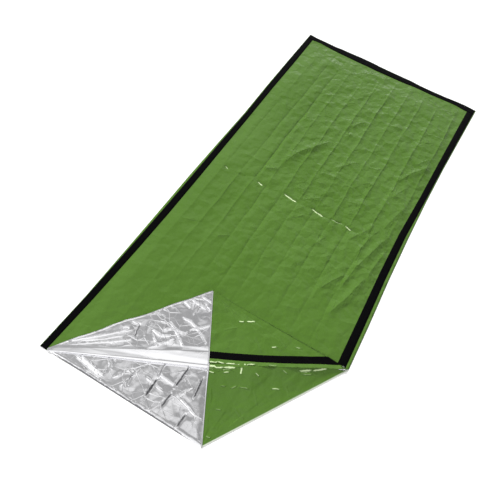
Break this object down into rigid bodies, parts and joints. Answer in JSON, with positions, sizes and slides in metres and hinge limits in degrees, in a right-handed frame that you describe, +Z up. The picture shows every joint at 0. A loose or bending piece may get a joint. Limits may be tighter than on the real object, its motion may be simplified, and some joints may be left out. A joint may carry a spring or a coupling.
{
  "type": "emergency sleeping bag",
  "caption": "Metallised film sleeping bag lying flat, green outside and silver inside, black taped seams, one mouth corner folded back.",
  "frame": {"origin": "on the floor under the middle of the bag's length and width", "axes": "+Y toward the closed foot end, +X toward the side whose mouth corner is folded back, +Z up"},
  "size_m": [0.9004, 2.0026, 0.0232],
  "materials": {
    "film": "thin polyethylene film, satin green outside, bright aluminium metallising inside, finely crinkled",
    "tape": "black self-adhesive cloth-backed tape, low sheen"
  },
  "bodies": {
    "root": {"back_panel": "film", "front_panel": "film", "left_tape": "tape", "foot_tape": "tape", "right_tape": "tape"}
  },
  "joints": []
}
